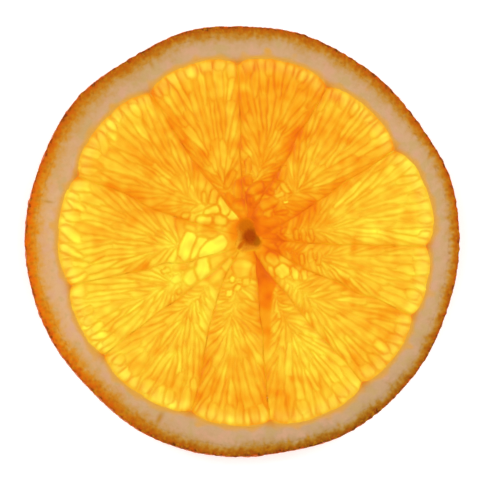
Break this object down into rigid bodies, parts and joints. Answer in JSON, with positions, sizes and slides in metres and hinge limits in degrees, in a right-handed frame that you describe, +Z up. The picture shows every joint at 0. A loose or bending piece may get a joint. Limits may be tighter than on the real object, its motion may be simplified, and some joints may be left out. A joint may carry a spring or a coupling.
{
  "type": "orange slice",
  "caption": "Round slice cut across an orange, lying flat: a disc with a thin peel, a pale pith ring, wedge-shaped segments of pulp between fine membranes, and a small dimpled core.",
  "frame": {"origin": "middle of the slice's outline, on the flat underside it rests on", "axes": "+Z up, out of the shown cut face, along the slice's thickness; +X and +Y across the cut face"},
  "size_m": [0.0766, 0.076, 0.0062],
  "materials": {
    "pulp": "wet, translucent juice cells, golden yellow to deep orange",
    "membrane": "thin wet skin between the segments, deeper orange",
    "pith": "matt, spongy, pinkish beige",
    "peel": "satin orange zest with fine oil glands, browner at the rim",
    "core": "moist brown fibre"
  },
  "bodies": {
    "root": {"slice": "pulp"}
  },
  "joints": []
}
